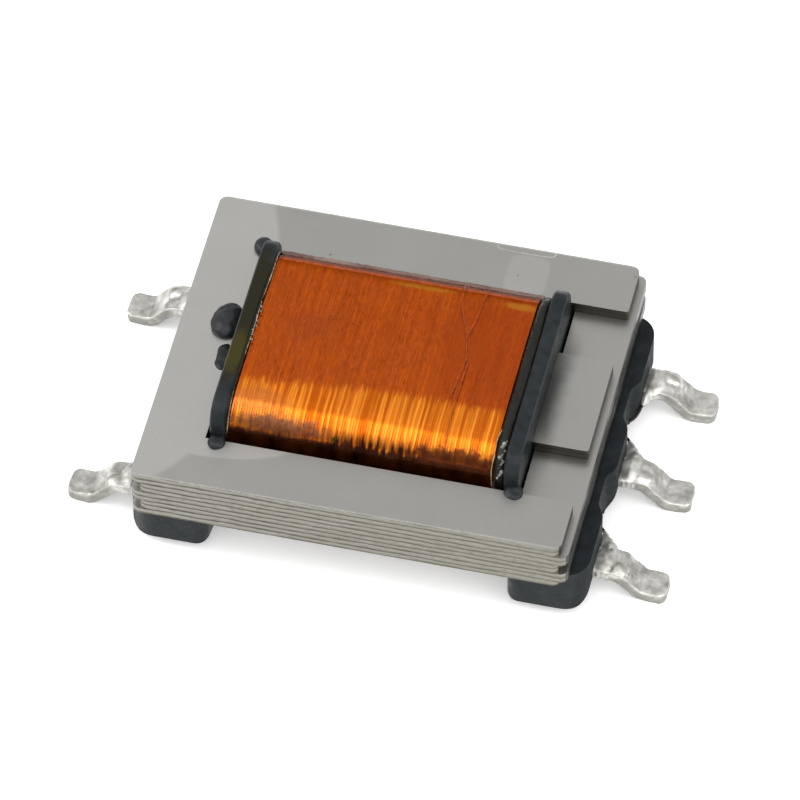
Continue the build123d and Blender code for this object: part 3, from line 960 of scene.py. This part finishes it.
def adhesive_dab(node_name, stretch, shift):
    """A lumpy dab on the core in place of the model's plain one, drawn out and shifted along Y."""
    low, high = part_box(node_name)
    size = [(high[axis] - low[axis]) / MM for axis in range(3)]
    middle = [(high[0] + low[0]) / 2 / MM, (high[1] + low[1]) / 2 / MM + shift, core_top]
    piece = lump_at(middle, (size[0] * 0.48, size[1] * 0.5 * stretch, size[2] * 0.75))
    subdivide(piece, 2, 1.0)
    roughen(piece, lumps, dab_waves)
    cut_below(piece, core_top)
    finish_piece(piece, f"lumpy_{node_name}", adhesive)
    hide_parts(node_name)


# Each dab, how many times it is drawn out along Y, and its shift that way in millimetres
dabs = (("left_centre", 1.0, 0.0), ("left_small", 1.6, -0.16), ("left_rear", 1.1, 0.0),
        ("left_front", 1.0, 0.0), ("right_front", 1.0, 0.0))
for dab_name, stretch, shift in dabs:
    adhesive_dab(f"adhesive_dab_{dab_name}", stretch, shift)


# ------------------------------------------------------------------ tape edges, creases and varnish

def on_coil(x, along, lift=0.0):
    """A point on the coil's face, along its profile from the middle of its top, in millimetres."""
    past = abs(along) - shoulder_y
    if past <= 0.0:
        return (x, along, coil_top - coil_crown * (along / crown_half) ** 2 + lift)
    angle = past / shoulder_radius
    reach = shoulder_radius + lift
    y = math.copysign(shoulder_y + reach * math.sin(angle), along)
    return (x, y, shoulder_z + reach * math.cos(angle))


def bead_line(name, material, slot, radius, uneven, lift, corners):
    """An uneven bead laid on the coil's face through these corners: (x, along), in millimetres."""
    longest_step = 0.25
    points = []
    for (x, along), (next_x, next_along) in zip(corners, corners[1:]):
        steps = max(2, round(abs(next_along - along) / longest_step))
        for step in range(steps):
            share = step / steps
            points.append(on_coil(x + share * (next_x - x), along + share * (next_along - along), lift))
    points.append(on_coil(*corners[-1], lift))
    piece = strand(points, radius)
    subdivide(piece, 2)
    roughen(piece, grain, uneven)
    finish_piece(piece, name, material)


def beads(name, count, start, zigzag, step, lift, radius, growth, shuffle):
    """A ragged row of round beads of varnish run together, from its start on the coil towards the front.

    Each bead's radius grows by a whole number of times, which shuffle's multiplier and divisor give.
    """
    x, along = start
    pieces = []
    for k in range(count):
        own_radius = radius + growth * (k * shuffle[0] % shuffle[1])
        middle = on_coil(x + zigzag * (k % 3), along - step * k, lift)
        pieces.append(lump_at(middle, (own_radius, own_radius, own_radius)))
    piece = join(pieces)
    apply_modifier(piece, "REMESH", mode="VOXEL", voxel_size=MM * bead_voxel)
    apply_modifier(piece, "SMOOTH", factor=0.5, iterations=4)
    roughen(piece, grain, bead_bumps)
    finish_piece(piece, name, bead_varnish)


def rear_seam(name, left, step, count, radius):
    """A thin run of varnish from the left, where the winding meets the core at the rear."""
    piece = strand([(left + step * k, rear_seam_y, core_top - 0.01) for k in range(count)], radius)
    subdivide(piece, 3)
    roughen(piece, grain, seam_bumps)
    finish_piece(piece, name, seam_varnish)


# Name, material, slot, radius, unevenness, lift off the coil, and corners from the rear to the front
coil_lines = (
    ("varnish_fillet_right", dark_varnish, "adhesive", 0.2, 0.02, -0.16,
     ((4.29, 4.2), (4.31, 3.2), (4.28, 1.4), (4.3, -0.6), (4.27, -2.2), (4.3, -3.6), (4.28, -4.7))),
    ("varnish_fillet_left", dark_varnish, "adhesive", 0.05, 0.03, -0.01,
     ((-4.45, 4.0), (-4.44, 2.4), (-4.45, 0.0), (-4.44, -2.4), (-4.45, -4.4))),
    ("tape_edge_left", film_edge, "clear_tape", 0.014, 0.03, 0.012,
     ((-4.41, 3.4), (-4.38, 2.4), (-4.42, 1.0), (-4.39, -0.4), (-4.43, -1.8), (-4.41, -3.2), (-4.4, -4.2))),
    ("tape_edge_right", film_edge, "clear_tape", 0.015, 0.02, 0.01,
     ((4.12, -2.5), (4.06, -2.9), (4.08, -3.4), (4.04, -3.9), (4.1, -4.5))),
    ("tape_crease_long", crease_film, "clear_tape", 0.016, 0.03, 0.0,
     ((1.64, 3.4), (1.74, 2.31), (2.19, 1.04), (2.47, -0.18), (2.45, -1.24), (2.44, -1.9), (2.5, -3.4))),
    ("tape_crease_short", crease_film, "clear_tape", 0.014, 0.03, 0.0,
     ((2.44, 3.3), (2.33, 1.69), (2.21, 0.94))),
    ("tape_crease_branch", crease_film, "clear_tape", 0.014, 0.03, 0.0,
     ((2.4, 0.1), (2.33, -0.7), (2.26, -1.5))),
    ("tape_crease_small", crease_film, "clear_tape", 0.006, 0.01, 0.0,
     ((-2.4, 0.8), (-1.9, 0.92), (-1.5, 0.86), (-1.2, 0.7))),
)
for coil_line in coil_lines:
    bead_line(*coil_line)
beads("varnish_specks", count=9, start=(-4.42, 0.9), zigzag=0.04, step=0.2, lift=0.03, radius=0.03,
      growth=0.009, shuffle=(5, 3))
rear_seam("varnish_seam_rear", left=-4.5, step=0.45, count=20, radius=0.09)
beads("varnish_beads", count=12, start=(4.38, -2.9), zigzag=-0.06, step=0.11, lift=0.02, radius=0.03,
      growth=0.016, shuffle=(7, 4))
